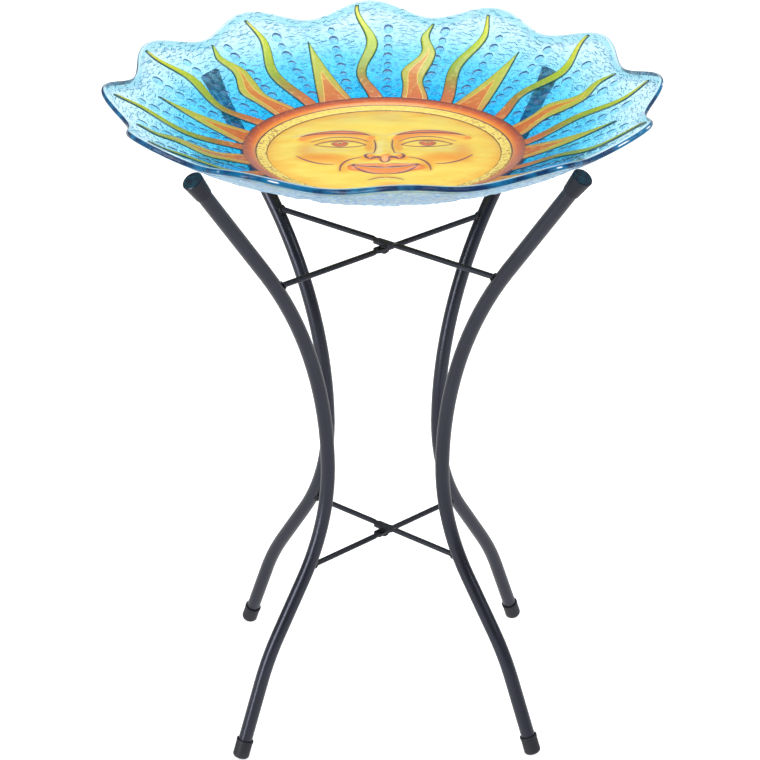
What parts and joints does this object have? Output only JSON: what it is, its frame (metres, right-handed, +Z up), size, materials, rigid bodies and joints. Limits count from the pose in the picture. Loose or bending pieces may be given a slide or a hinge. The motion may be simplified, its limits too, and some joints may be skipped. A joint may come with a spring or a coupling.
{
  "type": "bird bath",
  "caption": "Bird bath: a shallow scalloped glass bowl with a moulded sun design, resting loose on a folding stand of crossed bent-tube frames riveted together.",
  "frame": {"origin": "on the floor, under the middle axis that both frames turn about", "axes": "+X to the right, +Y to the rear, +Z up the middle axis; the front is -Y"},
  "size_m": [0.4638, 0.4638, 0.6052],
  "materials": {
    "glass": "translucent blue glass, moulded and painted",
    "leg_paint": "satin charcoal powder coat",
    "rod_paint": "satin black",
    "cap_gloss": "glossy black",
    "foot_rubber": "matt black",
    "rivet_steel": "satin black",
    "washer_black": "matt black"
  },
  "bodies": {
    "frame_a": {"leg_front_right": "leg_paint", "leg_rear_left": "leg_paint", "cap_front_right": "cap_gloss", "cap_rear_left": "cap_gloss", "foot_front_right": "foot_rubber", "foot_rear_left": "foot_rubber", "upper_rod_a": "rod_paint", "lower_rod_a": "rod_paint", "upper_rivet": "rivet_steel", "lower_rivet": "rivet_steel", "upper_spacer_washer": "washer_black", "lower_spacer_washer": "washer_black", "upper_retaining_washer": "rivet_steel", "lower_retaining_washer": "rivet_steel", "weld_beads_a": "rod_paint"},
    "frame_b": {"leg_front_left": "leg_paint", "leg_rear_right": "leg_paint", "cap_front_left": "cap_gloss", "cap_rear_right": "cap_gloss", "foot_front_left": "foot_rubber", "foot_rear_right": "foot_rubber", "upper_rod_b": "rod_paint", "lower_rod_b": "rod_paint", "weld_beads_b": "rod_paint"},
    "bowl": {"glass_bowl": "glass"}
  },
  "joints": [
    {"name": "fold", "type": "hinge", "parent": "frame_a", "child": "frame_b", "pos_m": [0, 0, 0.3], "axis": [0, 0, 1], "range_deg": [-68, 87]},
    {"name": "bowl_lift", "type": "slide", "parent": "frame_a", "child": "bowl", "axis": [0, 0, 1], "range_m": [0, 0.16]}
  ]
}
